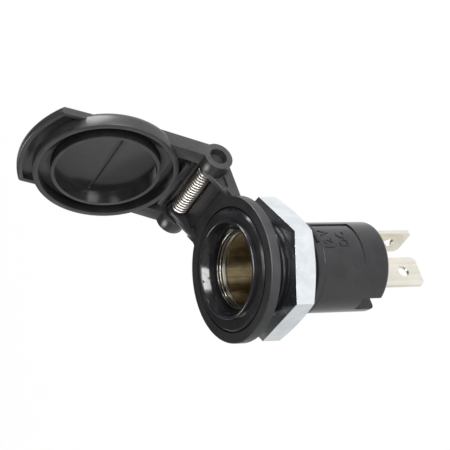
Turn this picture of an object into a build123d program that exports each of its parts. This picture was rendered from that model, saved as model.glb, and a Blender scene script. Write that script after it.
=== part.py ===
from build123d import *
import os
from math import asin, atan, cos, degrees, pi, radians, sin, sqrt, tan

# Panel-mounted car 12 V power socket with a hinged lid, in millimetres.
# The panel seat is the plane z = 0, with its centre on the socket's axis. The mouth faces +Z, the blades
# point to -Z, and the lid's hinge lies towards +Y with its axis along X. The lid is modelled open.

# Clearances
press_gap = 0.05
run_gap = 0.06

# Contact sleeve
bore_d = 21.1
sleeve_wall = 0.5
sleeve_roll = 0.12
sleeve_lead = 2.7
sleeve_top_z = 0.6
sleeve_foot_bend = 1.5
sleeve_flange_hole_r = 5.6

# Socket body
lip_top_z = 4.65
lip_wall = 0.85
throat_r = 13.05
throat_cone_z = 1.55
throat_floor_w = 0.83
throat_floor_z = 0.0
land_z = 3.5
land_edge_round = 0.5
flange_r = 17.2
flange_seat_z = 1.5
thread_r = 13.8
thread_end_z = -20.4
shell_r = 12.85
body_end_z = -42.5
rim_round = 1.3
rear_wall = 1.65
recess_depth = 7.5
web_t = 3.0
contact_boss_r = 4.8
contact_boss_h = 0.6
label_to_rear = 8.6
label_depth = 0.4
label_from_deg = -38.0
label_to_deg = 40.0
label_lead_deg = 5.0
notch_w = 5.6
notch_depth = 7.1
notch_pad_t = 3.35
notch_pad_half_deg = 35.0

# Lid bracket
ring_r = 20.55
ring_front_z = 2.95
ring_edge_round = 0.3
barrel_gap = 0.2
flange_gap = 0.4
cheek_in_x = 9.8
cheek_out_x = 12.2
cheek_relief = 0.6
cheek_foot_inset = 3.35
cheek_step_inset = 1.15
block_step_inset = 0.05
block_top_z = 3.9
boss_r = 3.0
axle_r = 2.5
axle_end_x = 13.7
hinge_reach = 6.65
hinge_z = 5.3

# Lid, with the hinge axis as its local origin while it is shut
open_deg = 106.5
ear_r = 4.3
ear_out_x = 16.0
ear_gap = 0.3
rim_inset = 0.25
rim_wall = 1.5
rim_edge_z = -1.7
seal_ring_gap = 0.4
seal_ring_wall = 1.0
lid_floor_z = 2.4
lid_channel_z = 1.7
lid_shoulder_z = 3.7
lid_shoulder_round = 2.6
lid_crown_z = 4.6
arm_top_z = 3.3
arm_rise = 1.0
arm_low_z = 0.0
tail_end_y = -5.5
tail_t = 1.4
tail_bar_w = 1.5
tail_bar_low_z = -0.4
hood_r = 4.2
hood_t = 1.1
hood_from_deg = 100.0
hood_to_deg = 145.0
lip_reach = 4.0
lip_bow_r = 29.2
lip_half_w = 15.9
lip_low_z = 1.1
gutter_wall = 1.6
gutter_end_wall = 1.3
gutter_top_t = 0.9
lip_edge_round = 0.6
floor_line_w = 0.9
floor_line_depth = 0.5
floor_line_shift = 0.85

# Lid spring and its pin
wire_d = 0.7
coil_d = 4.5
coil_turns = 16
pin_r = 1.2
wire_sides = 6
spring_tail = 3.4
tail_room = 0.6
trough_gap = 0.4
tail_slot_floor_z = 1.2

# Panel nut
nut_af = 35.0
nut_front_z = -7.0
nut_t = 6.6
nut_turn_deg = -2.0
nut_bore_gap = 0.1
nut_chamfer_deg = 18.0

# Blade terminals
blade_w = 9.5
blade_t = 1.2
blade_bend_r = 0.5
blade_tip_cut = 1.0
blade_hole_d = 3.5
blade_hole_from_tip = 5.8
plus_blade_x = -3.6
plus_reach = 21.8
plus_foot_x = 3.8
neck_w = 6.4
neck_h = 3.0
minus_blade_inset = 2.6
minus_reach = 17.7
minus_foot_y = 5.4
minus_ear_margin = 1.5
minus_ear_round = 1.5
minus_ear_y1 = 6.9

# Rivets
contact_head_r = 3.6
contact_head_h = 1.0
contact_shank_r = 1.5
contact_tail_r = 2.5
contact_tail_h = 0.9
rivet_x = 6.2
rivet_y = 4.2
rivet_r = 0.9
rivet_head_r = 1.5
rivet_head_h = 0.7
rivet_head_taper = 25.0

# Worked out from the values above
bore_r = bore_d / 2
sleeve_r = bore_r + sleeve_wall
sleeve_seat_r = sleeve_r + press_gap
sleeve_flare_r = bore_r + sleeve_wall + sleeve_roll
sleeve_bend_z = sleeve_top_z - sleeve_lead
sleeve_edge_z = sleeve_top_z - sleeve_wall / 2
throat_floor_r = sleeve_flare_r + press_gap + throat_floor_w
lip_r = throat_r + lip_wall
rear_recess_r = shell_r - rear_wall
notch_pad_r = shell_r - notch_pad_t
web_rear_z = body_end_z + recess_depth
web_front_z = web_rear_z + web_t
sleeve_bottom_z = web_front_z
label_rear_z = body_end_z + label_to_rear
notch_front_z = body_end_z + notch_depth
contact_boss_z = web_front_z + contact_boss_h
ring_bore_r = thread_r + barrel_gap
ring_pocket_r = flange_r + flange_gap
hinge_y = ring_r + hinge_reach
cheek_foot_y = ring_r - cheek_foot_inset
cheek_step_y = ring_r - cheek_step_inset
block_step_y = ring_r - block_step_inset
cheek_back_y = hinge_y + boss_r
cheek_hinge_x = cheek_out_x - cheek_relief
pin_end_x = cheek_hinge_x
ear_in_x = cheek_hinge_x + ear_gap
ear_hole_r = axle_r + run_gap
coil_r = (coil_d - wire_d) / 2
coil_end_x = cheek_in_x - wire_d / 2 - press_gap
coil_start_x = tail_room - coil_end_x
coil_pitch = (coil_end_x - coil_start_x) / coil_turns
coil_rise = atan(coil_pitch / (2 * pi * coil_r))
lid_centre = (0, -hinge_y)
rim_r = ring_r - rim_inset
rim_in_r = rim_r - rim_wall
seal_ring_in_r = lip_r + seal_ring_gap
seal_ring_r = seal_ring_in_r + seal_ring_wall
bar_half_x = cheek_in_x - ear_gap
lip_reach_r = rim_r + lip_reach
lip_bow_centre = (0, lip_bow_r - lip_reach_r - hinge_y)
nut_rear_z = nut_front_z - nut_t
blade_foot_z = web_rear_z - blade_t
plus_tip_z = body_end_z - plus_reach
minus_tip_z = body_end_z - minus_reach
minus_blade_y = rear_recess_r - minus_blade_inset
minus_ear_x = rivet_x + minus_ear_margin
minus_ear_y0 = rivet_y - minus_ear_margin
rivet_places = [(-rivet_x, rivet_y), (rivet_x, rivet_y)]

os.makedirs("parts", exist_ok=True)


def wedge(first_deg, last_deg):
    """Sketch face between two rays from the axis, longer than the shell is wide."""
    reach = 2 * shell_r
    first = (reach * cos(radians(first_deg)), reach * sin(radians(first_deg)))
    last = (reach * cos(radians(last_deg)), reach * sin(radians(last_deg)))
    Polygon((0, 0), first, last, align=None)


# Socket body: flange with the mouth's lip, threaded barrel, rear shell and the web that carries the contacts
with BuildPart() as socket_body:
    with BuildSketch(Plane.XZ):
        with BuildLine():
            lip_round = lip_wall / 2
            Polyline(
                (0, contact_boss_z),
                (contact_boss_r, contact_boss_z),
                (contact_boss_r, web_front_z),
                (sleeve_seat_r, web_front_z),
                (sleeve_seat_r, sleeve_bend_z),
                (sleeve_flare_r + press_gap, throat_floor_z),
                (throat_floor_r, throat_floor_z),
                (throat_floor_r, throat_cone_z),
                (throat_r, lip_top_z - lip_round),
            )
            ThreePointArc(
                (throat_r, lip_top_z - lip_round),
                (throat_r + lip_round, lip_top_z),
                (lip_r, lip_top_z - lip_round),
            )
            Polyline(
                (lip_r, lip_top_z - lip_round),
                (lip_r, land_z),
                (flange_r - land_edge_round, land_z),
                (flange_r, land_z - land_edge_round),
                (flange_r, flange_seat_z),
                (thread_r, flange_seat_z),
                (thread_r, thread_end_z + (thread_r - shell_r)),
                (shell_r, thread_end_z),
                (shell_r, body_end_z + rim_round),
            )
            RadiusArc((shell_r, body_end_z + rim_round), (shell_r - rim_round, body_end_z), rim_round)
            Polyline(
                (shell_r - rim_round, body_end_z),
                (rear_recess_r, body_end_z),
                (rear_recess_r, web_rear_z),
                (0, web_rear_z),
                (0, contact_boss_z),
            )
        make_face()
    revolve(axis=Axis.Z)

    # Holes through the web for the centre contact and the two rivets
    with BuildSketch(Plane.XY.offset(web_rear_z)):
        Circle(contact_shank_r + press_gap)
        with Locations(*rivet_places):
            Circle(rivet_r + press_gap)
    extrude(amount=web_t + contact_boss_h, mode=Mode.SUBTRACT)

    # Label field: an off-centre turned recess that runs out to nothing at its lower end
    label_axis = radians(label_from_deg + 90)
    with BuildSketch(Plane.XY.offset(label_rear_z)):
        wedge(label_from_deg + label_lead_deg, label_to_deg)
        with Locations((-label_depth * cos(label_axis), -label_depth * sin(label_axis))):
            Circle(shell_r, mode=Mode.SUBTRACT)
    extrude(amount=thread_end_z - label_rear_z, mode=Mode.SUBTRACT)

    # Thicker wall below, with an open notch from the rear
    with BuildSketch(Plane.XY.offset(body_end_z)):
        wedge(-90 - notch_pad_half_deg, -90 + notch_pad_half_deg)
        Circle((shell_r + rear_recess_r) / 2 - rim_round / 2, mode=Mode.INTERSECT)
        Circle(notch_pad_r, mode=Mode.SUBTRACT)
    extrude(amount=recess_depth)
    with BuildSketch(Plane.XY.offset(notch_front_z)):
        with Locations((0, -shell_r)):
            Rectangle(notch_w, shell_r)
    extrude(amount=body_end_z - notch_front_z, mode=Mode.SUBTRACT)
socket_body.part.label = "socket_body"
export_step(socket_body.part, "parts/socket_body.step")


# Contact sleeve: drawn cup with a flared mouth and an open bottom flange
with BuildPart() as contact_sleeve:
    with BuildSketch(Plane.XZ):
        with BuildLine():
            foot_out_r = sleeve_foot_bend + sleeve_wall
            Line((bore_r, sleeve_bend_z), (bore_r, sleeve_bottom_z + foot_out_r))
            RadiusArc(
                (bore_r, sleeve_bottom_z + foot_out_r),
                (bore_r - sleeve_foot_bend, sleeve_bottom_z + sleeve_wall),
                sleeve_foot_bend,
            )
            Polyline(
                (bore_r - sleeve_foot_bend, sleeve_bottom_z + sleeve_wall),
                (sleeve_flange_hole_r, sleeve_bottom_z + sleeve_wall),
                (sleeve_flange_hole_r, sleeve_bottom_z),
                (bore_r - sleeve_foot_bend, sleeve_bottom_z),
            )
            RadiusArc(
                (bore_r - sleeve_foot_bend, sleeve_bottom_z),
                (sleeve_r, sleeve_bottom_z + foot_out_r),
                -foot_out_r,
            )
            Polyline(
                (sleeve_r, sleeve_bottom_z + foot_out_r),
                (sleeve_r, sleeve_bend_z),
                (sleeve_flare_r, sleeve_edge_z),
            )
            ThreePointArc(
                (sleeve_flare_r, sleeve_edge_z),
                (sleeve_flare_r - sleeve_wall / 2, sleeve_top_z),
                (bore_r + sleeve_roll, sleeve_edge_z),
            )
            Line((bore_r + sleeve_roll, sleeve_edge_z), (bore_r, sleeve_bend_z))
        make_face()
    revolve(axis=Axis.Z)
    with BuildSketch(Plane.XY.offset(sleeve_bottom_z)):
        with Locations(*rivet_places):
            Circle(rivet_r + press_gap)
    extrude(amount=sleeve_wall, mode=Mode.SUBTRACT)
contact_sleeve.part.label = "contact_sleeve"
export_step(contact_sleeve.part, "parts/contact_sleeve.step")


# Plus terminal: bent strip, its foot under the web and its blade beside the axis
with BuildPart() as plus_terminal:
    plus_out_x = plus_blade_x - blade_t / 2
    plus_in_x = plus_blade_x + blade_t / 2
    with BuildSketch(Plane.XZ):
        with BuildLine():
            Polyline(
                (plus_foot_x, web_rear_z),
                (plus_out_x, web_rear_z),
                (plus_out_x, plus_tip_z),
                (plus_in_x, plus_tip_z),
                (plus_in_x, blade_foot_z),
                (plus_foot_x, blade_foot_z),
                close=True,
            )
        make_face()
    extrude(amount=blade_w / 2, both=True)
    bend_edges = plus_terminal.edges().filter_by(Axis.Y)
    bend_out = bend_edges.sort_by_distance((plus_out_x, 0, web_rear_z))[0]
    bend_in = bend_edges.sort_by_distance((plus_in_x, 0, blade_foot_z))[0]
    fillet(bend_in, blade_bend_r)
    fillet(bend_out, blade_bend_r + blade_t)
    chamfer(plus_terminal.edges().filter_by(Axis.X).group_by(Axis.Z)[0], blade_tip_cut)

    # Narrow foot, so that it stays clear of the other terminal's ears
    with BuildSketch(Plane.YZ.offset(plus_out_x)):
        with Locations((0, web_rear_z)):
            Rectangle(blade_w, 2 * neck_h, align=(Align.CENTER, Align.CENTER))
            Rectangle(neck_w, 2 * neck_h, align=(Align.CENTER, Align.CENTER), mode=Mode.SUBTRACT)
    extrude(amount=plus_foot_x - plus_out_x, mode=Mode.SUBTRACT)
    with BuildSketch(Plane.YZ.offset(plus_out_x)):
        with Locations((0, plus_tip_z + blade_hole_from_tip)):
            Circle(blade_hole_d / 2)
    extrude(amount=blade_t, mode=Mode.SUBTRACT)
    with BuildSketch(Plane.XY.offset(blade_foot_z)):
        Circle(contact_shank_r + press_gap)
    extrude(amount=blade_t, mode=Mode.SUBTRACT)
plus_terminal.part.label = "plus_terminal"
export_step(plus_terminal.part, "parts/plus_terminal.step")


# Minus terminal: bent strip whose foot spreads into two riveted ears
with BuildPart() as minus_terminal:
    minus_out_y = minus_blade_y + blade_t / 2
    minus_in_y = minus_blade_y - blade_t / 2
    with BuildSketch(Plane.YZ):
        with BuildLine():
            Polyline(
                (minus_foot_y, web_rear_z),
                (minus_out_y, web_rear_z),
                (minus_out_y, minus_tip_z),
                (minus_in_y, minus_tip_z),
                (minus_in_y, blade_foot_z),
                (minus_foot_y, blade_foot_z),
                close=True,
            )
        make_face()
    extrude(amount=blade_w / 2, both=True)
    bend_edges = minus_terminal.edges().filter_by(Axis.X)
    bend_out = bend_edges.sort_by_distance((0, minus_out_y, web_rear_z))[0]
    bend_in = bend_edges.sort_by_distance((0, minus_in_y, blade_foot_z))[0]
    fillet(bend_in, blade_bend_r)
    fillet(bend_out, blade_bend_r + blade_t)
    chamfer(minus_terminal.edges().filter_by(Axis.Y).group_by(Axis.Z)[0], blade_tip_cut)
    with BuildSketch(Plane.XY.offset(blade_foot_z)):
        with Locations((0, (minus_ear_y0 + minus_ear_y1) / 2)):
            RectangleRounded(2 * minus_ear_x, minus_ear_y1 - minus_ear_y0, minus_ear_round)
        with Locations((0, minus_foot_y)):
            Rectangle(blade_w, minus_foot_y, align=(Align.CENTER, Align.MAX), mode=Mode.SUBTRACT)
    extrude(amount=blade_t)
    with BuildSketch(Plane.XY.offset(blade_foot_z)):
        with Locations(*rivet_places):
            Circle(rivet_r + press_gap)
    extrude(amount=blade_t, mode=Mode.SUBTRACT)
    with BuildSketch(Plane.XZ.offset(-minus_out_y)):
        with Locations((0, minus_tip_z + blade_hole_from_tip)):
            Circle(blade_hole_d / 2)
    extrude(amount=blade_t, mode=Mode.SUBTRACT)
minus_terminal.part.label = "minus_terminal"
export_step(minus_terminal.part, "parts/minus_terminal.step")


# Centre contact: headed pin that rivets the plus terminal to the web
with BuildPart() as centre_contact:
    with BuildSketch(Plane.XZ):
        with BuildLine():
            head_top_z = contact_boss_z + contact_head_h
            tail_z = blade_foot_z - contact_tail_h
            Polyline(
                (0, head_top_z),
                (0, tail_z),
                (contact_shank_r, tail_z),
                (contact_tail_r, blade_foot_z),
                (contact_shank_r, blade_foot_z),
                (contact_shank_r, contact_boss_z),
                (contact_head_r, contact_boss_z),
                (contact_head_r, contact_boss_z + contact_head_h / 2),
            )
            TangentArc((0, head_top_z), (contact_head_r, contact_boss_z + contact_head_h / 2), tangent=(1, 0))
        make_face()
    revolve(axis=Axis.Z)
centre_contact.part.label = "centre_contact"
export_step(centre_contact.part, "parts/centre_contact.step")


# Two rivets that clamp the sleeve, the web and the minus terminal
with BuildPart() as sleeve_rivets:
    rivet_front_z = web_front_z + sleeve_wall
    with BuildSketch(Plane.XY.offset(blade_foot_z)):
        with Locations(*rivet_places):
            Circle(rivet_r)
    extrude(amount=rivet_front_z - blade_foot_z)
    with BuildSketch(Plane.XY.offset(rivet_front_z)):
        with Locations(*rivet_places):
            Circle(rivet_head_r)
    extrude(amount=rivet_head_h, taper=rivet_head_taper)
    with BuildSketch(Plane.XY.offset(blade_foot_z)):
        with Locations(*rivet_places):
            Circle(rivet_head_r)
    extrude(amount=-rivet_head_h, taper=rivet_head_taper)
sleeve_rivets.part.label = "sleeve_rivets"
export_step(sleeve_rivets.part, "parts/sleeve_rivets.step")


# Lid bracket: ring under the body's flange, hinge block, two cheeks with bosses and the stub axles
with BuildPart() as lid_bracket:
    with BuildSketch(Plane.XZ):
        with BuildLine():
            Polyline(
                (ring_bore_r, 0),
                (ring_r, 0),
                (ring_r, ring_front_z - ring_edge_round),
            )
            RadiusArc(
                (ring_r, ring_front_z - ring_edge_round),
                (ring_r - ring_edge_round, ring_front_z),
                -ring_edge_round,
            )
            Polyline(
                (ring_r - ring_edge_round, ring_front_z),
                (ring_pocket_r, ring_front_z),
                (ring_pocket_r, flange_seat_z),
                (ring_bore_r, flange_seat_z),
                (ring_bore_r, 0),
            )
        make_face()
    revolve(axis=Axis.Z)

    # Plate that joins the ring to the hinge
    with BuildSketch(Plane.XY):
        with Locations((0, cheek_back_y / 2)):
            Rectangle(2 * cheek_out_x, cheek_back_y)
        Circle(ring_pocket_r, mode=Mode.SUBTRACT)
    extrude(amount=ring_front_z)

    # Raised hinge block between the cheeks
    with BuildSketch(Plane.XY):
        with Locations((0, (block_step_y + cheek_back_y) / 2)):
            Rectangle(2 * cheek_in_x, cheek_back_y - block_step_y)
    extrude(amount=block_top_z)

    # Cheeks: a slope from the ring that runs tangent into the hinge boss
    foot_to_hinge = sqrt((hinge_y - cheek_foot_y) ** 2 + (hinge_z - ring_front_z) ** 2)
    slope_len = sqrt(foot_to_hinge**2 - boss_r**2)
    slope_deg = degrees(asin((hinge_z - ring_front_z) / foot_to_hinge) + asin(boss_r / foot_to_hinge))
    slope_top = (
        cheek_foot_y + slope_len * cos(radians(slope_deg)),
        ring_front_z + slope_len * sin(radians(slope_deg)),
    )
    for side in (-1, 1):
        with BuildSketch(Plane.YZ.offset(side * cheek_in_x)):
            with BuildLine():
                Polyline(
                    (cheek_foot_y, 0),
                    (cheek_foot_y, ring_front_z),
                    slope_top,
                    (hinge_y, hinge_z),
                    (cheek_back_y, hinge_z),
                    (cheek_back_y, 0),
                    close=True,
                )
            make_face()
            with Locations((hinge_y, hinge_z)):
                Circle(boss_r)
        extrude(amount=side * (cheek_out_x - cheek_in_x))

        # Relief beside the hinge, where the lid's ear and arm turn
        with BuildSketch(Plane.YZ.offset(side * cheek_hinge_x)):
            with Locations((cheek_step_y, ring_front_z)):
                Rectangle(2 * ring_r, 2 * ring_r, align=(Align.MIN, Align.MIN))
            with Locations((hinge_y, hinge_z)):
                Circle(ear_r + ear_gap)
        extrude(amount=side * cheek_relief, mode=Mode.SUBTRACT)

        # Stub axle for the lid's ear
        with BuildSketch(Plane.YZ.offset(side * cheek_in_x)):
            with Locations((hinge_y, hinge_z)):
                Circle(axle_r)
        extrude(amount=side * (axle_end_x - cheek_in_x))

    # Trough under the coil, blind bore for the pin and slot for the coil's tail
    with BuildSketch(Plane.YZ.offset(-cheek_in_x)):
        with Locations((hinge_y, hinge_z)):
            Circle(coil_d / 2 + trough_gap)
    extrude(amount=2 * cheek_in_x, mode=Mode.SUBTRACT)
    with BuildSketch(Plane.YZ.offset(-axle_end_x)):
        with Locations((hinge_y, hinge_z)):
            Circle(pin_r + press_gap)
    extrude(amount=axle_end_x + pin_end_x + press_gap, mode=Mode.SUBTRACT)
    with BuildSketch(Plane.XY.offset(tail_slot_floor_z)):
        with Locations((-cheek_in_x, hinge_y)):
            Rectangle(2 * wire_d, boss_r, align=(Align.MIN, Align.MIN))
    extrude(amount=block_top_z, mode=Mode.SUBTRACT)
lid_bracket.part.label = "lid_bracket"
export_step(lid_bracket.part, "parts/lid_bracket.step")


# Lid shut, about its own hinge axis: arms with ears, a tail, the spring's hood, the disc and a finger lip
with BuildPart() as shut_lid:
    arm_end_y = -hinge_y + rim_in_r / 2
    for side in (-1, 1):
        with BuildSketch(Plane.YZ.offset(side * ear_in_x)):
            with BuildLine():
                Polyline(
                    (0, arm_top_z),
                    (arm_end_y, arm_top_z + arm_rise),
                    (arm_end_y, arm_low_z),
                    (0, arm_low_z - ear_r / 4),
                    close=True,
                )
            make_face()
            Circle(ear_r)
        extrude(amount=side * (ear_out_x - ear_in_x))
    with BuildSketch(Plane.XY.offset(arm_top_z)):
        with Locations((0, tail_end_y)):
            Rectangle(2 * ear_in_x, tail_end_y - arm_end_y, align=(Align.CENTER, Align.MAX))
    extrude(amount=-tail_t)
    with BuildSketch(Plane.XY.offset(arm_top_z)):
        with Locations((0, tail_end_y)):
            Rectangle(2 * bar_half_x, tail_bar_w, align=(Align.CENTER, Align.MAX))
    extrude(amount=tail_bar_low_z - arm_top_z)

    # Hood over the spring, between the bracket's cheeks
    with BuildSketch(Plane.YZ.offset(-bar_half_x)):
        with Locations((tail_end_y, arm_top_z)):
            Rectangle(-tail_end_y - hood_r + hood_t, tail_t, align=(Align.MIN, Align.MAX))
        with BuildLine():
            outer = CenterArc((0, 0), hood_r, hood_from_deg, hood_to_deg - hood_from_deg)
            inner = CenterArc((0, 0), hood_r - hood_t, hood_from_deg, hood_to_deg - hood_from_deg)
            Line(outer @ 0, inner @ 0)
            Line(outer @ 1, inner @ 1)
        make_face()
    extrude(amount=2 * bar_half_x)

    # Finger lip opposite the hinge, hollowed by a gutter
    with BuildSketch(Plane.XY.offset(lip_low_z)):
        with Locations(lip_bow_centre):
            Circle(lip_bow_r)
        with Locations(lid_centre):
            Rectangle(2 * lip_half_w, 2 * lip_reach_r, align=(Align.CENTER, Align.MAX), mode=Mode.INTERSECT)
    extrude(amount=arm_top_z - lip_low_z)
    with BuildSketch(Plane.XY.offset(lip_low_z)):
        with Locations(lip_bow_centre):
            Circle(lip_bow_r - gutter_wall)
        with Locations(lid_centre):
            Rectangle(
                2 * (lip_half_w - gutter_end_wall),
                2 * lip_reach_r,
                align=(Align.CENTER, Align.MAX),
                mode=Mode.INTERSECT,
            )
    extrude(amount=arm_top_z - lip_low_z - gutter_top_t, mode=Mode.SUBTRACT)
    round_edges = shut_lid.edges().filter_by(GeomType.CIRCLE)
    fillet(round_edges.filter_by(lambda e: e.radius > lip_bow_r - gutter_wall / 2), lip_edge_round)

    # Room for the disc, then the disc itself turned about its centre
    with BuildSketch(Plane.XY.offset(rim_edge_z)):
        with Locations(lid_centre):
            Circle(rim_in_r)
    extrude(amount=lid_floor_z - rim_edge_z, mode=Mode.SUBTRACT)
    disc_section = Plane(origin=(*lid_centre, 0), x_dir=(0, -1, 0), z_dir=(-1, 0, 0))
    with BuildSketch(disc_section) as disc_profile:
        with BuildLine():
            Polyline(
                (0, lid_crown_z),
                (0, lid_floor_z),
                (seal_ring_in_r, lid_floor_z),
                (seal_ring_in_r, rim_edge_z),
                (seal_ring_r, rim_edge_z),
                (seal_ring_r, lid_channel_z),
                (rim_in_r, lid_channel_z),
                (rim_in_r, rim_edge_z),
                (rim_r, rim_edge_z),
                (rim_r, lid_shoulder_z - lid_shoulder_round),
            )
            RadiusArc(
                (rim_r, lid_shoulder_z - lid_shoulder_round),
                (rim_r - lid_shoulder_round, lid_shoulder_z),
                -lid_shoulder_round,
            )
            TangentArc((0, lid_crown_z), (rim_r - lid_shoulder_round, lid_shoulder_z), tangent=(1, 0))
        make_face()
    revolve(axis=Axis((*lid_centre, 0), (0, 0, 1)))

    # Line moulded across the floor, and the bearing holes in the ears
    with BuildSketch(Plane.XY.offset(lid_floor_z)):
        with Locations((0, floor_line_shift - hinge_y)):
            Rectangle(2 * seal_ring_in_r - 2 * floor_line_w, floor_line_w)
    extrude(amount=floor_line_depth, mode=Mode.SUBTRACT)
    with BuildSketch(Plane.YZ.offset(-ear_out_x)):
        Circle(ear_hole_r)
    extrude(amount=2 * ear_out_x, mode=Mode.SUBTRACT)

# The same lid turned open about the hinge
with BuildPart() as lid:
    with Locations(Location((0, hinge_y, hinge_z), (-open_deg, 0, 0))):
        add(shut_lid.part)
lid.part.label = "lid"
export_step(lid.part, "parts/lid.step")


# Lid spring as wound, about its own Z axis: a straight tail that runs into the coil
with BuildPart() as upright_spring:
    with BuildLine() as spring_path:
        Line((coil_r, -spring_tail * cos(coil_rise), -spring_tail * sin(coil_rise)), (coil_r, 0, 0))
        Helix(pitch=coil_pitch, height=coil_turns * coil_pitch, radius=coil_r)
    with BuildSketch(Plane(origin=spring_path.line @ 0, z_dir=spring_path.line % 0)):
        RegularPolygon(wire_d / 2, wire_sides)
    sweep(path=spring_path.wire(), is_frenet=True)

# The same spring laid along the hinge, with its tail down in the hinge block
coil_plane = Plane(origin=(coil_start_x, hinge_y, hinge_z), x_dir=(0, 1, 0), z_dir=(1, 0, 0))
with BuildPart() as lid_spring:
    with Locations(coil_plane.location):
        add(upright_spring.part)
lid_spring.part.label = "lid_spring"
export_step(lid_spring.part, "parts/lid_spring.step")


# Pin that carries the coil between the cheeks
with BuildPart() as spring_pin:
    with BuildSketch(Plane.YZ.offset(-axle_end_x)):
        with Locations((hinge_y, hinge_z)):
            Circle(pin_r)
    extrude(amount=axle_end_x + pin_end_x)
spring_pin.part.label = "spring_pin"
export_step(spring_pin.part, "parts/spring_pin.step")


# Panel nut: hexagon with its corners turned off on both faces
with BuildPart() as panel_nut:
    with BuildSketch(Plane.XY.offset(nut_rear_z)):
        RegularPolygon(radius=nut_af / 2, side_count=6, major_radius=False, rotation=nut_turn_deg)
        Circle(thread_r + nut_bore_gap, mode=Mode.SUBTRACT)
    extrude(amount=nut_t)
    with BuildSketch(Plane.XZ):
        with BuildLine():
            flat_r = nut_af / 2
            chamfer_run = flat_r / 4
            chamfer_rise = chamfer_run * tan(radians(nut_chamfer_deg))
            for face_z, inward in ((nut_rear_z, chamfer_rise), (nut_front_z, -chamfer_rise)):
                Polyline(
                    (flat_r, face_z),
                    (flat_r + chamfer_run, face_z + inward),
                    (flat_r + chamfer_run, face_z),
                    close=True,
                )
        make_face()
    revolve(axis=Axis.Z, mode=Mode.SUBTRACT)
panel_nut.part.label = "panel_nut"
export_step(panel_nut.part, "parts/panel_nut.step")
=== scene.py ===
from math import pi, radians

import bpy
from mathutils import Matrix, Vector


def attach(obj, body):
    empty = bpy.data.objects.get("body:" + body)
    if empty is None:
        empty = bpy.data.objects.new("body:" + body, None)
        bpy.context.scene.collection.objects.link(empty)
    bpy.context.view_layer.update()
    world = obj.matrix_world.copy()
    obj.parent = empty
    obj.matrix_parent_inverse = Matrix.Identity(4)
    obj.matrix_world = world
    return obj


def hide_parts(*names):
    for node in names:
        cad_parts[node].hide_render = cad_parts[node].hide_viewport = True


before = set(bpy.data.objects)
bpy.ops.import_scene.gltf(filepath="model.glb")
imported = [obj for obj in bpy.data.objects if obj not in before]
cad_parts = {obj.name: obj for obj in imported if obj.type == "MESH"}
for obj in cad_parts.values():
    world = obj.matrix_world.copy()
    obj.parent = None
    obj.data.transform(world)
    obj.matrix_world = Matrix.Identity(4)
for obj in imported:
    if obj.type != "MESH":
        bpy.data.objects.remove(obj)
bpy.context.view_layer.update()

MM = 0.001
UNIT = (0.0, 1.0)

# Camera of the photograph, in the part's frame
CAMERA_AT_MM = (495.597, -316.302, 380.236)
CAMERA_RIGHT = (0.4407, -0.3095, -0.8426)
CAMERA_UP = (0.5612, 0.8276, -0.0105)
LENS_MM = 201.48
CLIP_START_MM = 10

# Floor: its glow is the share of white that the camera and the reflections see
FLOOR_Z_MM = -78.0
FLOOR_SIDE_M = 6.0
FLOOR_GREY = 0.82
FLOOR_ROUGHNESS = 0.9
FLOOR_GLOW = 0.95

# Dimmer band of that glow in reflections, beside the part: its strength, then its edges along X
FLOOR_DIM = 0.72
FLOOR_DIM_NEAR_M = (-0.06, 0.0)
FLOOR_DIM_FAR_M = (-0.45, -0.25)

# Lamps: name, place in mm, width and height in mm, power in W
LAMPS = (
    ("window_softbox", (530, -103, 76), (560, 180), 5.4),
    ("front_softbox", (394, -136, 432), (460, 130), 2.9),
    ("top_softbox", (330, 520, 160), (360, 360), 4.6),
    ("rim_softbox", (-417, -136, 409), (220, 220), 1.2),
)

# Room: its brightness, the side where it is darker, and how far towards that side the change runs
ROOM_LIGHT = 0.6
ROOM_DARK = 0.15
DARK_SIDE = (-0.25, 0.17, 0.95)
DARK_SPAN = (0.15, 0.7)

# Meshes: distance for merging points, angle up to which faces join, and slack for picking points
MERGE_MM = 0.001
JOIN_DEG = 0.6
PICK_MM = 0.01

# Edge rounding: segments, angle from which an edge is rounded, and angle up to which faces shade as one
ROUND_SEGMENTS = 2
ROUND_FROM_DEG = 32
SMOOTH_DEG = 38

# Barrel of the body, and slack for picking the points on it
BARREL_R_MM = 13.8
BARREL_TOP_Z_MM = 1.6
BARREL_PICK_MM = 0.02
BODY_EDGE_MM = 0.14

# Thread on the barrel: the ridge's foot stands a little inside the root
ROOT_R_MM = 13.15
RIDGE_INSIDE_MM = 0.15
RIDGE_FOOT_MM = 1.3
RIDGE_CREST_SHARE = 0.22
THREAD_PITCH_MM = 1.5
THREAD_TURNS = 13
THREAD_FOOT_Z_MM = -18.9
THREAD_STEPS = 96
THREAD_SMOOTH_DEG = 30

# Hinge of the lid, and how far the lid stands open
HINGE_MM = Vector((0, 27.2, 5.3))
OPEN_DEG = 106.5

# Lid spring
COIL_START_MM = (-9.2, 27.2, 5.5)
COIL_TURNS = 17
COIL_PITCH_MM = 1.08
COIL_R_MM = 2.05
WIRE_R_MM = 0.36
WIRE_SIDES = 14
COIL_STEPS = 40
COIL_SMOOTH_DEG = 50
LEG_MM = 3.0

# Webs between the lid's hood and its ears, about the hinge with the lid open
WEB_X_MM = 10.7
WEB_WIDTH_MM = 2.6
WEB_MIDDLE_R_MM = 4.15
WEB_T_MM = 1.3
WEB_FROM_DEG = -18.0
WEB_TO_DEG = 36.0
WEB_STEPS = 12
WEB_EDGE_MM = 0.12

# Polished inner side of the lid, inside its rim, measured from the hinge with the lid shut
POLISHED_CENTRE_Y_MM = -27.2
POLISHED_R_MM = 18.9
POLISHED_Z_MM = (-1.6, 2.7)

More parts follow.
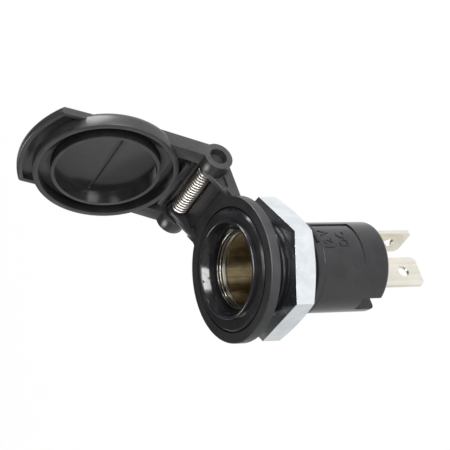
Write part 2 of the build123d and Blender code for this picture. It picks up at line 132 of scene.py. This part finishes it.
# Raised lettering on the rear shell: words, angle about the axis and height on it
LETTERING = (("12 V", 7.0, -23.2), ("DC", 7.0, -28.4))
LETTER_MM = 4.2
LETTER_CUTS = 3
LETTER_START_MM = 0.5
LETTER_LIFT_MM = 0.02
LETTER_RELIEF_MM = 0.2
SHELL_R_MM = 12.85

# Moulded grain: share of the fine grain in its height, and the cloudy patches
GRAIN_SHARE = 0.35
PATCH_SCALE = 160.0
PATCH_SPAN = (0.32, 0.68)

# Scuffs in two directions: stretch of the noise, and the span of it that shows
SCUFFS = (
    ((3.0, 0.12, 0.2), (0.66, 0.76)),
    ((0.12, 2.4, 0.5), (0.68, 0.78)),
)

# Dust on plastic: scale, the span of the noise that shows, colour and strength
DUST_SCALE = 2600.0
DUST_SPAN = (0.74, 0.8)
DUST_COLOUR = (0.16, 0.16, 0.16)
DUST_SHARE = 0.25

# Tool rings and drawing lines: stretch of the coordinates, and the span of the noise that shows
RING_STRETCH = (1.0, 1.0, 0.0)
LINE_STRETCH = (1.0, 1.0, 0.02)
LINE_SPAN = (0.3, 0.7)

# What scuffs add to roughness, and how much stains and scuffs shade drawn metal
PLASTIC_SCUFFING = 0.12
PLATE_SCUFFING = 0.1
STAIN_SHARE = 0.7
SCUFF_SHARE = 0.6

# Rolled rings of the sleeve's mouth: level in mm, height share, roughness, and brightness there. The
# brightness is painted light and shade: its dark stops stand in for shade and dark reflections, and its
# bright stops for highlights on the rolled ridges
MOUTH_TOP_Z_MM = 0.6
MOUTH_FOOT_Z_MM = -2.7
MOUTH_RINGS = (
    (-2.7, 0.5, 0.29, 0.9),
    (-2.55, 0.2, 0.16, 0.5),
    (-2.35, 0.7, 0.16, 0.7),
    (-2.1, 0.2, 0.16, 0.5),
    (-1.9, 0.5, 0.5, 0.45),
    (-1.2, 0.5, 0.5, 0.45),
    (-1.0, 0.1, 0.16, 0.4),
    (-0.5, 0.4, 0.16, 0.5),
    (-0.36, 1.0, 0.2, 0.9),
    (-0.22, 0.3, 0.16, 0.3),
    (0.1, 0.3, 0.2, 0.1),
    (0.45, 0.4, 0.2, 0.1),
    (0.6, 0.4, 0.2, 0.4),
)
RING_HEIGHT = 1
RING_ROUGHNESS = 2
RING_PAINTED_LIGHT_AND_SHADE = 3

# Sleeve: colour of the dark rings, which is painted shade, where the mouth's finish blends in, uneven gloss
# and groove direction
PAINTED_SHADE_RING = (0.02, 0.02, 0.02)
MOUTH_BLEND = (0.02, 0.06)
SLEEVE_UNEVEN = (-0.03, 0.05)
GROOVES = 1.0
GROOVE_TURN = 0.25


# Selecting and finishing pieces
def deselect_all():
    """Leave edit mode, with nothing selected."""
    if bpy.context.mode != "OBJECT":
        bpy.ops.object.mode_set(mode="OBJECT")
    bpy.ops.object.select_all(action="DESELECT")


def make_active(piece):
    deselect_all()
    piece.select_set(True)
    bpy.context.view_layer.objects.active = piece


def select_points(piece, wanted):
    """Select the points whose place in mm passes the test, and go to edit mode."""
    make_active(piece)
    bpy.ops.object.mode_set(mode="EDIT")
    bpy.ops.mesh.select_mode(type="VERT")
    bpy.ops.mesh.select_all(action="DESELECT")
    bpy.ops.object.mode_set(mode="OBJECT")
    for point in piece.data.vertices:
        point.select = bool(wanted(point.co / MM))
    bpy.ops.object.mode_set(mode="EDIT")


def apply_modifier(piece, modifier):
    make_active(piece)
    bpy.ops.object.modifier_apply(modifier=modifier.name)


def apply_placing():
    """Make the active piece's place, turn and scale part of its mesh."""
    bpy.ops.object.transform_apply(location=True, rotation=True, scale=True)


def wind(piece, pitch_mm, turns, steps):
    """Wind a profile about the Z axis as a right-hand helix."""
    winding = piece.modifiers.new("winding", "SCREW")
    winding.axis = "Z"
    winding.screw_offset = pitch_mm * MM
    winding.iterations = turns
    winding.steps = steps
    winding.render_steps = steps
    apply_modifier(piece, winding)


def finish_piece(piece, material, slot, body, *nodes):
    """Give a piece its material, the body it rides on and the nodes it stands for. The slot is not used."""
    piece.data.materials.clear()
    piece.data.materials.append(material)
    if nodes:
        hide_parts(*nodes)
    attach(piece, body)


def copy_node(node, name):
    """A copy of a CAD node's mesh, with its loose triangles joined to whole faces."""
    piece = bpy.data.objects.new(name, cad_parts[node].data.copy())
    bpy.context.scene.collection.objects.link(piece)
    make_active(piece)
    bpy.ops.mesh.customdata_custom_splitnormals_clear()
    bpy.ops.object.mode_set(mode="EDIT")
    bpy.ops.mesh.select_all(action="SELECT")
    bpy.ops.mesh.remove_doubles(threshold=MERGE_MM * MM)
    bpy.ops.mesh.dissolve_limited(angle_limit=radians(JOIN_DEG))
    bpy.ops.object.mode_set(mode="OBJECT")
    return piece


def round_edges(piece, width_mm, keep_flat=True):
    """Round the sharp edges, as a mould, a press or plating leaves them."""
    rounding = piece.modifiers.new("rounding", "BEVEL")
    rounding.width = width_mm * MM
    rounding.segments = ROUND_SEGMENTS
    rounding.limit_method = "ANGLE"
    rounding.angle_limit = radians(ROUND_FROM_DEG)
    rounding.use_clamp_overlap = True
    apply_modifier(piece, rounding)
    bpy.ops.object.shade_smooth_by_angle(angle=radians(SMOOTH_DEG))
    if keep_flat:
        flat_faces = piece.modifiers.new("flat_faces", "WEIGHTED_NORMAL")
        flat_faces.keep_sharp = True
        apply_modifier(piece, flat_faces)


# Shader building blocks
def new_material(name):
    """A new material, its node tree and its shader."""
    material = bpy.data.materials.new(name)
    material.use_nodes = True
    tree = material.node_tree
    return material, tree, tree.nodes["Principled BSDF"]


def new_group(name, inputs, outputs):
    """An empty shader group with number sockets, one Vector input, and its in and out nodes."""
    group = bpy.data.node_groups.new(name, "ShaderNodeTree")
    group.interface.new_socket("Vector", in_out="INPUT", socket_type="NodeSocketVector")
    for socket in inputs:
        group.interface.new_socket(socket, in_out="INPUT", socket_type="NodeSocketFloat")
    for socket in outputs:
        group.interface.new_socket(socket, in_out="OUTPUT", socket_type="NodeSocketFloat")
    return group, group.nodes.new("NodeGroupInput"), group.nodes.new("NodeGroupOutput")


def set_or_link(tree, socket, value):
    """Give a socket its value, which is a number or another socket."""
    if isinstance(value, (int, float)):
        socket.default_value = value
    else:
        tree.links.new(value, socket)


def noise(tree, vector, scale, detail, roughness):
    """A noise texture; scale is a number or a socket."""
    texture = tree.nodes.new("ShaderNodeTexNoise")
    texture.inputs["Detail"].default_value = detail
    texture.inputs["Roughness"].default_value = roughness
    tree.links.new(vector, texture.inputs["Vector"])
    set_or_link(tree, texture.inputs["Scale"], scale)
    return texture.outputs["Fac"]


def span(tree, value, source, target=UNIT):
    """Stretch a value from one range to another, held inside it."""
    stretch = tree.nodes.new("ShaderNodeMapRange")
    stretch.inputs["From Min"].default_value = source[0]
    stretch.inputs["From Max"].default_value = source[1]
    stretch.inputs["To Min"].default_value = target[0]
    stretch.inputs["To Max"].default_value = target[1]
    tree.links.new(value, stretch.inputs["Value"])
    return stretch.outputs["Result"]


def combined(tree, kind, first, second):
    """One Math node on two values, each a number or a socket."""
    node = tree.nodes.new("ShaderNodeMath")
    node.operation = kind
    set_or_link(tree, node.inputs[0], first)
    set_or_link(tree, node.inputs[1], second)
    return node.outputs[0]


def stretched(tree, vector, scale):
    """Coordinates with their own scale along each axis."""
    mapping = tree.nodes.new("ShaderNodeMapping")
    mapping.inputs["Scale"].default_value = scale
    tree.links.new(vector, mapping.inputs["Vector"])
    return mapping.outputs["Vector"]


def make_mould_grain():
    """Fine spark-eroded grain, a slow waviness of the moulded wall, and cloudy patches of gloss."""
    group, given, made = new_group("mould_grain", ("Grain Scale", "Wave Scale"), ("Height", "Patches"))
    vector = given.outputs["Vector"]
    grain = noise(group, vector, given.outputs["Grain Scale"], detail=2.0, roughness=0.6)
    wave = noise(group, vector, given.outputs["Wave Scale"], detail=1.0, roughness=0.4)
    height = combined(group, "ADD", combined(group, "MULTIPLY", grain, GRAIN_SHARE), wave)
    clouds = noise(group, vector, PATCH_SCALE, detail=4.0, roughness=0.6)
    group.links.new(height, made.inputs["Height"])
    group.links.new(span(group, clouds, PATCH_SPAN), made.inputs["Patches"])
    return group


def make_fine_marks():
    """Thin scuffs that run in two directions, and specks of dust."""
    group, given, made = new_group("fine_marks", ("Scuff Scale",), ("Scuffs", "Dust"))
    vector = given.outputs["Vector"]
    scuffs = []
    for stretch, shown in SCUFFS:
        drawn_out = stretched(group, vector, stretch)
        runs = noise(group, drawn_out, given.outputs["Scuff Scale"], detail=2.0, roughness=0.5)
        scuffs.append(span(group, runs, shown))
    specks = noise(group, vector, DUST_SCALE, detail=1.0, roughness=0.5)
    group.links.new(combined(group, "MAXIMUM", *scuffs), made.inputs["Scuffs"])
    group.links.new(span(group, specks, DUST_SPAN), made.inputs["Dust"])
    return group


def make_turned_rings():
    """Tool rings round the Z axis, as a lathe leaves them on a face."""
    group, given, made = new_group("turned_rings", ("Ring Scale",), ("Height", "Shade"))
    flat = stretched(group, given.outputs["Vector"], RING_STRETCH)
    length = group.nodes.new("ShaderNodeVectorMath")
    length.operation = "LENGTH"
    group.links.new(flat, length.inputs[0])
    across = group.nodes.new("ShaderNodeCombineXYZ")
    group.links.new(length.outputs["Value"], across.inputs["X"])
    scale = given.outputs["Ring Scale"]
    rings = noise(group, across.outputs["Vector"], scale, detail=4.0, roughness=0.7)
    group.links.new(rings, made.inputs["Height"])
    group.links.new(span(group, rings, LINE_SPAN), made.inputs["Shade"])
    return group


def make_drawn_lines():
    """Straight drawing lines along the Z axis."""
    group, given, made = new_group("drawn_lines", ("Line Scale",), ("Lines",))
    drawn_out = stretched(group, given.outputs["Vector"], LINE_STRETCH)
    lines = noise(group, drawn_out, given.outputs["Line Scale"], detail=3.0, roughness=0.6)
    group.links.new(span(group, lines, LINE_SPAN), made.inputs["Lines"])
    return group


mould_grain = make_mould_grain()
fine_marks = make_fine_marks()
turned_rings = make_turned_rings()
drawn_lines = make_drawn_lines()


def place_group(tree, group, vector, **values):
    """A shader group in a material, with its numbers set, and its outputs."""
    node = tree.nodes.new("ShaderNodeGroup")
    node.node_tree = group
    tree.links.new(vector, node.inputs["Vector"])
    for name, value in values.items():
        node.inputs[name.replace("_", " ")].default_value = value
    return node.outputs


def object_place(tree):
    return tree.nodes.new("ShaderNodeTexCoord").outputs["Object"]


def split_axes(tree):
    """The object's own coordinates, axis by axis."""
    split = tree.nodes.new("ShaderNodeSeparateXYZ")
    tree.links.new(object_place(tree), split.inputs[0])
    return split.outputs


def blend_colours(tree, share, first, second):
    """A colour between two, each a triple or a socket, by a share that changes over the surface."""
    mix = tree.nodes.new("ShaderNodeMix")
    mix.data_type = "RGBA"
    tree.links.new(share, mix.inputs["Factor"])
    for socket, colour in ((mix.inputs["A"], first), (mix.inputs["B"], second)):
        if isinstance(colour, tuple):
            socket.default_value = (*colour, 1)
        else:
            tree.links.new(colour, socket)
    return mix.outputs["Result"]


def bump(tree, shader, height, depth_mm, strength):
    """Relief of the shader's normal, from a height that changes over the surface."""
    raised = tree.nodes.new("ShaderNodeBump")
    raised.inputs["Distance"].default_value = depth_mm * MM
    raised.inputs["Strength"].default_value = strength
    tree.links.new(height, raised.inputs["Height"])
    tree.links.new(raised.outputs["Normal"], shader.inputs["Normal"])


def level_ramp(tree, level, column):
    """One column of the mouth's rings as a smooth ramp over its level."""
    ramp = tree.nodes.new("ShaderNodeValToRGB")
    stops = ramp.color_ramp.elements
    while len(stops) < len(MOUTH_RINGS):
        stops.new(0.5)
    for stop, ring in zip(stops, MOUTH_RINGS):
        stop.position = (ring[0] - MOUTH_FOOT_Z_MM) / (MOUTH_TOP_Z_MM - MOUTH_FOOT_Z_MM)
        stop.color = (ring[column], ring[column], ring[column], 1)
    tree.links.new(level, ramp.inputs["Fac"])
    return ramp.outputs["Color"]


# Finishes
def moulded_plastic(name, dark, light, roughness, specular, grain_depth_mm):
    """Black moulded plastic: cloudy tone, uneven gloss, fine grain, scuffs and a little dust."""
    material, tree, shader = new_material(name)
    place = object_place(tree)
    grain = place_group(tree, mould_grain, place, Grain_Scale=5200.0, Wave_Scale=420.0)
    marks = place_group(tree, fine_marks, place, Scuff_Scale=900.0)
    tone = blend_colours(tree, grain["Patches"], dark, light)
    dusted = combined(tree, "MULTIPLY", marks["Dust"], DUST_SHARE)
    tree.links.new(blend_colours(tree, dusted, tone, DUST_COLOUR), shader.inputs["Base Color"])
    uneven = span(tree, grain["Patches"], UNIT, roughness)
    scuffed = combined(tree, "MULTIPLY", marks["Scuffs"], PLASTIC_SCUFFING)
    tree.links.new(combined(tree, "ADD", uneven, scuffed), shader.inputs["Roughness"])
    shader.inputs["Specular IOR Level"].default_value = specular
    bump(tree, shader, grain["Height"], depth_mm=grain_depth_mm, strength=0.2)
    return material


def plated_steel(name, colour, shade, roughness):
    """Bright plating over turned steel: tool rings, patches of haze and thin scuffs."""
    material, tree, shader = new_material(name)
    place = object_place(tree)
    rings = place_group(tree, turned_rings, place, Ring_Scale=2600.0)
    marks = place_group(tree, fine_marks, place, Scuff_Scale=700.0)
    haze = place_group(tree, mould_grain, place, Grain_Scale=3000.0, Wave_Scale=300.0)
    tone = blend_colours(tree, haze["Patches"], colour, shade)
    tree.links.new(blend_colours(tree, marks["Scuffs"], tone, shade), shader.inputs["Base Color"])
    uneven = span(tree, rings["Shade"], UNIT, roughness)
    scuffed = combined(tree, "MULTIPLY", marks["Scuffs"], PLATE_SCUFFING)
    tree.links.new(combined(tree, "ADD", uneven, scuffed), shader.inputs["Roughness"])
    shader.inputs["Metallic"].default_value = 1.0
    bump(tree, shader, rings["Height"], depth_mm=0.02, strength=0.3)
    return material


def drawn_metal(name, colour, shade, roughness, line_scale, depth_mm):
    """Plated sheet or wire with drawing lines, faint stains and uneven gloss."""
    material, tree, shader = new_material(name)
    place = object_place(tree)
    lines = place_group(tree, drawn_lines, place, Line_Scale=line_scale)
    stains = place_group(tree, mould_grain, place, Grain_Scale=4000.0, Wave_Scale=260.0)
    marks = place_group(tree, fine_marks, place, Scuff_Scale=800.0)
    stained = combined(tree, "MULTIPLY", stains["Patches"], STAIN_SHARE)
    scuffed = combined(tree, "MULTIPLY", marks["Scuffs"], SCUFF_SHARE)
    worn = combined(tree, "MAXIMUM", stained, scuffed)
    tree.links.new(blend_colours(tree, worn, colour, shade), shader.inputs["Base Color"])
    tree.links.new(span(tree, lines["Lines"], UNIT, roughness), shader.inputs["Roughness"])
    shader.inputs["Metallic"].default_value = 1.0
    bump(tree, shader, lines["Lines"], depth_mm=depth_mm, strength=0.3)
    return material


def sleeve_finish(name, colour, shade, mouth_colour):
    """Drawn sleeve, satin inside with fine grooves round it, and the rolled rings of its mouth, with
    painted light and shade in their colour.
    """
    material, tree, shader = new_material(name)
    place = object_place(tree)
    mouth_z = (MOUTH_FOOT_Z_MM * MM, MOUTH_TOP_Z_MM * MM)
    level = span(tree, split_axes(tree)["Z"], mouth_z)
    lines = place_group(tree, drawn_lines, place, Line_Scale=1500.0)
    stains = place_group(tree, mould_grain, place, Grain_Scale=4000.0, Wave_Scale=260.0)
    drawn = blend_colours(tree, stains["Patches"], colour, shade)
    # Painted light and shade: the rings' brightness darkens the mouth's colour where shade and dark
    # reflections fall, and keeps it bright at highlights
    painted_light_and_shade = level_ramp(tree, level, RING_PAINTED_LIGHT_AND_SHADE)
    rolled = blend_colours(tree, painted_light_and_shade, PAINTED_SHADE_RING, mouth_colour)
    mouth = span(tree, level, MOUTH_BLEND)
    tree.links.new(blend_colours(tree, mouth, drawn, rolled), shader.inputs["Base Color"])
    roughness = level_ramp(tree, level, RING_ROUGHNESS)
    uneven = span(tree, lines["Lines"], UNIT, SLEEVE_UNEVEN)
    tree.links.new(combined(tree, "ADD", roughness, uneven), shader.inputs["Roughness"])
    shader.inputs["Metallic"].default_value = 1.0
    ring_wise = tree.nodes.new("ShaderNodeTangent")
    ring_wise.direction_type = "RADIAL"
    ring_wise.axis = "Z"
    tree.links.new(ring_wise.outputs["Tangent"], shader.inputs["Tangent"])
    shader.inputs["Anisotropic"].default_value = GROOVES
    shader.inputs["Anisotropic Rotation"].default_value = GROOVE_TURN
    bump(tree, shader, level_ramp(tree, level, RING_HEIGHT), depth_mm=0.2, strength=0.7)
    return material


body_black = moulded_plastic(
    "body_black",
    dark=(0.005, 0.005, 0.006),
    light=(0.010, 0.010, 0.011),
    roughness=(0.1, 0.2),
    specular=0.5,
    grain_depth_mm=0.008,
)
bracket_black = moulded_plastic(
    "bracket_black",
    dark=(0.006, 0.006, 0.007),
    light=(0.012, 0.012, 0.013),
    roughness=(0.34, 0.46),
    specular=0.5,
    grain_depth_mm=0.012,
)
lid_black = moulded_plastic(
    "lid_black",
    dark=(0.010, 0.010, 0.010),
    light=(0.016, 0.016, 0.016),
    roughness=(0.26, 0.38),
    specular=0.56,
    grain_depth_mm=0.015,
)
lid_gloss = moulded_plastic(
    "lid_gloss",
    dark=(0.006, 0.006, 0.006),
    light=(0.010, 0.010, 0.010),
    roughness=(0.14, 0.24),
    specular=0.5,
    grain_depth_mm=0.008,
)
zinc_plate = plated_steel(
    "zinc_plate",
    colour=(0.84, 0.88, 0.91),
    shade=(0.70, 0.74, 0.77),
    roughness=(0.12, 0.3),
)
nickel_blade = drawn_metal(
    "nickel_blade",
    colour=(0.80, 0.77, 0.69),
    shade=(0.68, 0.65, 0.57),
    roughness=(0.24, 0.42),
    line_scale=2200.0,
    depth_mm=0.01,
)
sleeve_brass = sleeve_finish(
    "sleeve_brass",
    colour=(0.56, 0.46, 0.27),
    shade=(0.28, 0.22, 0.12),
    mouth_colour=(0.74, 0.69, 0.61),
)
spring_wire = drawn_metal(
    "spring_wire",
    colour=(0.54, 0.51, 0.475),
    shade=(0.40, 0.375, 0.35),
    roughness=(0.3, 0.42),
    line_scale=2600.0,
    depth_mm=0.001,
)
# The pin's near-black colour is painted shade: it stands in for the shadow seen through the gaps between
# the spring's turns
pin_steel_painted_shade = drawn_metal(
    "pin_steel_painted_shade",
    colour=(0.16, 0.15, 0.145),
    shade=(0.08, 0.075, 0.07),
    roughness=(0.4, 0.55),
    line_scale=2000.0,
    depth_mm=0.002,
)


# Pieces
def make_body():
    """The moulded body, with its barrel drawn in to the root of the thread."""
    body = copy_node("socket_body", "moulded_body")
    select_points(
        body,
        lambda p: abs(p.xy.length - BARREL_R_MM) < BARREL_PICK_MM and p.z < BARREL_TOP_Z_MM,
    )
    shrink = ROOT_R_MM / BARREL_R_MM
    bpy.ops.transform.resize(value=(shrink, shrink, 1), center_override=(0, 0, 0))
    bpy.ops.object.mode_set(mode="OBJECT")
    round_edges(body, BODY_EDGE_MM)
    finish_piece(body, body_black, "body_plastic", "socket", "socket_body")
    return body


def make_thread():
    """A flat-topped ridge, drawn as a small frame and wound up the barrel as a right-hand thread."""
    deselect_all()
    bpy.ops.mesh.primitive_plane_add(size=MM)
    ridge = bpy.context.object
    ridge.name = "barrel_thread"
    ridge.rotation_euler.x = pi / 2
    ridge.scale = (BARREL_R_MM - ROOT_R_MM + RIDGE_INSIDE_MM, RIDGE_FOOT_MM, 1)
    ridge.location.x = (BARREL_R_MM + ROOT_R_MM - RIDGE_INSIDE_MM) / 2 * MM
    ridge.location.z = THREAD_FOOT_Z_MM * MM
    apply_placing()
    middle_x = (BARREL_R_MM + ROOT_R_MM) / 2
    select_points(ridge, lambda p: p.x > middle_x)
    crest = (BARREL_R_MM * MM, 0, THREAD_FOOT_Z_MM * MM)
    bpy.ops.transform.resize(value=(1, 1, RIDGE_CREST_SHARE), center_override=crest)
    bpy.ops.mesh.select_all(action="SELECT")
    bpy.ops.mesh.delete(type="ONLY_FACE")
    bpy.ops.object.mode_set(mode="OBJECT")
    wind(ridge, THREAD_PITCH_MM, THREAD_TURNS, THREAD_STEPS)
    bpy.ops.object.mode_set(mode="EDIT")
    bpy.ops.mesh.select_all(action="SELECT")
    bpy.ops.mesh.remove_doubles(threshold=MERGE_MM * MM)
    bpy.ops.mesh.fill_holes(sides=4)
    bpy.ops.mesh.normals_make_consistent(inside=False)
    bpy.ops.object.mode_set(mode="OBJECT")
    bpy.ops.object.shade_smooth_by_angle(angle=radians(THREAD_SMOOTH_DEG))
    finish_piece(ridge, body_black, "body_plastic", "socket")


def make_spring():
    """Round wire wound into the lid spring, with its leg drawn out of the first turn."""
    deselect_all()
    bpy.ops.mesh.primitive_circle_add(vertices=WIRE_SIDES, radius=WIRE_R_MM * MM)
    coil = bpy.context.object
    coil.name = "lid_spring_coil"
    coil.rotation_euler.x = pi / 2
    coil.location.x = COIL_R_MM * MM
    apply_placing()
    wind(coil, COIL_PITCH_MM, COIL_TURNS, COIL_STEPS)
    select_points(coil, lambda p: abs(p.y) < PICK_MM and p.x > 0 and p.z < WIRE_R_MM + PICK_MM)
    bpy.ops.mesh.extrude_region_move(TRANSFORM_OT_translate={"value": (0, -LEG_MM * MM, 0)})
    bpy.ops.mesh.select_all(action="SELECT")
    bpy.ops.mesh.fill_holes(sides=WIRE_SIDES)
    bpy.ops.mesh.normals_make_consistent(inside=False)
    bpy.ops.object.mode_set(mode="OBJECT")
    turn = Matrix.Rotation(pi / 2, 3, "Y") @ Matrix.Rotation(pi / 2, 3, "Z")
    coil.rotation_euler = turn.to_euler()
    coil.location = Vector(COIL_START_MM) * MM
    make_active(coil)
    apply_placing()
    bpy.ops.object.shade_smooth_by_angle(angle=radians(COIL_SMOOTH_DEG))
    finish_piece(coil, spring_wire, "spring_steel", "socket", "lid_spring")


def make_hood_webs():
    """Curved webs that join the hood to the ears, over the bracket's cheeks."""
    for side, name in ((-1, "hood_web_left"), (1, "hood_web_right")):
        deselect_all()
        bpy.ops.mesh.primitive_plane_add(size=MM)
        web = bpy.context.object
        web.name = name
        web.scale = (WEB_WIDTH_MM, WEB_T_MM, 1)
        web.location = (side * WEB_X_MM * MM, WEB_MIDDLE_R_MM * MM, 0)
        apply_placing()
        web.rotation_euler.x = radians(WEB_FROM_DEG)
        web.location = HINGE_MM * MM
        apply_placing()
        bpy.ops.object.mode_set(mode="EDIT")
        bpy.ops.mesh.select_all(action="SELECT")
        turn = radians(WEB_TO_DEG - WEB_FROM_DEG)
        bpy.ops.mesh.spin(steps=WEB_STEPS, angle=turn, center=HINGE_MM * MM, axis=(-1, 0, 0))
        bpy.ops.mesh.select_all(action="SELECT")
        bpy.ops.mesh.normals_make_consistent(inside=False)
        bpy.ops.object.mode_set(mode="OBJECT")
        round_edges(web, WEB_EDGE_MM)
        finish_piece(web, lid_black, "lid_plastic", "lid")


def make_lettering(body):
    """Plain raised words on the rear shell, laid on its curve and given their relief."""
    for words, angle_deg, height_mm in LETTERING:
        deselect_all()
        bpy.ops.object.text_add()
        letters = bpy.context.object
        letters.name = "raised_" + words.replace(" ", "_")
        letters.data.body = words
        letters.data.size = LETTER_MM * MM
        letters.data.align_x = "CENTER"
        letters.data.align_y = "CENTER"
        bpy.ops.object.convert(target="MESH")
        letters = bpy.context.object
        up = Vector((0, 0, 1))
        out = Vector((1, 0, 0))
        out.rotate(Matrix.Rotation(radians(angle_deg), 3, "Z"))
        turn = Matrix((up.cross(out), up, out)).transposed()
        letters.rotation_euler = turn.to_euler()
        letters.location = (out * (SHELL_R_MM + LETTER_START_MM) + up * height_mm) * MM
        apply_placing()
        bpy.ops.object.mode_set(mode="EDIT")
        bpy.ops.mesh.select_all(action="SELECT")
        bpy.ops.mesh.quads_convert_to_tris()
        bpy.ops.mesh.subdivide(number_cuts=LETTER_CUTS)
        bpy.ops.object.mode_set(mode="OBJECT")
        wrap = letters.modifiers.new("wrap", "SHRINKWRAP")
        wrap.target = body
        wrap.wrap_method = "NEAREST_SURFACEPOINT"
        wrap.offset = LETTER_LIFT_MM * MM
        apply_modifier(letters, wrap)
        relief = letters.modifiers.new("relief", "SOLIDIFY")
        relief.thickness = 2 * LETTER_RELIEF_MM * MM
        relief.offset = 0
        apply_modifier(letters, relief)
        finish_piece(letters, body_black, "body_plastic", "socket")


def make_softened(node, name, material, slot, body, edge_mm, keep_flat=True):
    """A node's own shape with its sharp edges rounded."""
    piece = copy_node(node, name)
    round_edges(piece, edge_mm, keep_flat)
    finish_piece(piece, material, slot, body, node)
    return piece


def polish_inner_side(lid):
    """Give the lid's inner side, inside the rim, its glossier finish."""
    lid.data.materials.append(lid_gloss)
    shut = Matrix.Rotation(radians(OPEN_DEG), 3, "X")
    for face in lid.data.polygons:
        middle = shut @ (face.center / MM - HINGE_MM)
        across = Vector((middle.x, middle.y - POLISHED_CENTRE_Y_MM)).length
        if across < POLISHED_R_MM and POLISHED_Z_MM[0] < middle.z < POLISHED_Z_MM[1]:
            face.material_index = 1


# Stage, camera and light
def make_camera():
    right = Vector(CAMERA_RIGHT).normalized()
    back = right.cross(Vector(CAMERA_UP)).normalized()
    up = back.cross(right)
    turn = Matrix((right, up, back)).transposed().to_4x4()
    camera = bpy.data.objects.new("camera", bpy.data.cameras.new("camera"))
    camera.matrix_world = Matrix.Translation(Vector(CAMERA_AT_MM) * MM) @ turn
    camera.data.lens = LENS_MM
    camera.data.clip_start = CLIP_START_MM * MM
    bpy.context.scene.collection.objects.link(camera)
    bpy.context.scene.camera = camera


def make_floor():
    """A wide pale floor that the camera and the reflections see as near white, with the object's shadow."""
    deselect_all()
    bpy.ops.mesh.primitive_plane_add(size=FLOOR_SIDE_M, location=(0, 0, FLOOR_Z_MM * MM))
    floor = bpy.context.object
    floor.name = "floor"
    material, tree, shader = new_material("pale_floor")
    shader.inputs["Base Color"].default_value = (FLOOR_GREY, FLOOR_GREY, FLOOR_GREY, 1)
    shader.inputs["Roughness"].default_value = FLOOR_ROUGHNESS
    path = tree.nodes.new("ShaderNodeLightPath").outputs
    seen = combined(tree, "MAXIMUM", path["Is Camera Ray"], path["Is Glossy Ray"])
    seen = combined(tree, "MAXIMUM", seen, path["Is Transmission Ray"])
    along_x = split_axes(tree)["X"]
    near_side = span(tree, along_x, FLOOR_DIM_NEAR_M, (FLOOR_DIM, 1.0))
    far_side = span(tree, along_x, FLOOR_DIM_FAR_M, (1.0, FLOOR_DIM))
    lit = combined(tree, "MAXIMUM", near_side, far_side)
    glow = tree.nodes.new("ShaderNodeEmission")
    strength = combined(tree, "MAXIMUM", path["Is Camera Ray"], lit)
    tree.links.new(strength, glow.inputs["Strength"])
    mix = tree.nodes.new("ShaderNodeMixShader")
    tree.links.new(combined(tree, "MULTIPLY", seen, FLOOR_GLOW), mix.inputs["Fac"])
    tree.links.new(shader.outputs[0], mix.inputs[1])
    tree.links.new(glow.outputs[0], mix.inputs[2])
    tree.links.new(mix.outputs[0], tree.nodes["Material Output"].inputs["Surface"])
    floor.data.materials.append(material)


def make_light():
    """A pale room, darker overhead, and four softboxes."""
    world = bpy.data.worlds.new("soft_room")
    bpy.context.scene.world = world
    world.use_nodes = True
    tree = world.node_tree
    direction = tree.nodes.new("ShaderNodeTexCoord").outputs["Generated"]
    side = tree.nodes.new("ShaderNodeVectorMath")
    side.operation = "DOT_PRODUCT"
    side.inputs[1].default_value = DARK_SIDE
    tree.links.new(direction, side.inputs[0])
    level = span(tree, side.outputs["Value"], DARK_SPAN, (ROOM_LIGHT, ROOM_DARK))
    tree.links.new(level, tree.nodes["Background"].inputs["Strength"])
    tree.nodes["Background"].inputs["Color"].default_value = (1, 1, 1, 1)
    for name, place, size, power in LAMPS:
        lamp = bpy.data.lights.new(name, "AREA")
        lamp.shape = "RECTANGLE"
        lamp.size = size[0] * MM
        lamp.size_y = size[1] * MM
        lamp.energy = power
        holder = bpy.data.objects.new(name, lamp)
        holder.location = Vector(place) * MM
        holder.visible_camera = False
        holder.rotation_euler = (-holder.location).to_track_quat("-Z", "Y").to_euler()
        bpy.context.scene.collection.objects.link(holder)


bpy.context.scene.view_settings.view_transform = "Standard"
make_camera()
make_floor()
make_light()
moulded_body = make_body()
make_thread()
make_lettering(moulded_body)
make_spring()
make_hood_webs()
make_softened("lid_bracket", "hinge_bracket", bracket_black, "lid_plastic", "socket", edge_mm=0.18)
sprung_lid = make_softened(
    "lid", "sprung_lid", lid_black, "lid_plastic", "lid", edge_mm=0.16, keep_flat=False
)
polish_inner_side(sprung_lid)
make_softened("panel_nut", "hex_nut", zinc_plate, "nut_steel", "nut", edge_mm=0.2)
make_softened("plus_terminal", "plus_blade", nickel_blade, "terminal_metal", "socket", edge_mm=0.12)
make_softened("minus_terminal", "minus_blade", nickel_blade, "terminal_metal", "socket", edge_mm=0.12)
make_softened("sleeve_rivets", "rivets", nickel_blade, "terminal_metal", "socket", edge_mm=0.1)
make_softened("contact_sleeve", "drawn_sleeve", sleeve_brass, "sleeve_metal", "socket", edge_mm=0.05)
make_softened("centre_contact", "centre_stud", sleeve_brass, "sleeve_metal", "socket", edge_mm=0.12)
make_softened("spring_pin", "hinge_pin", pin_steel_painted_shade, "spring_steel", "socket", edge_mm=0.12)
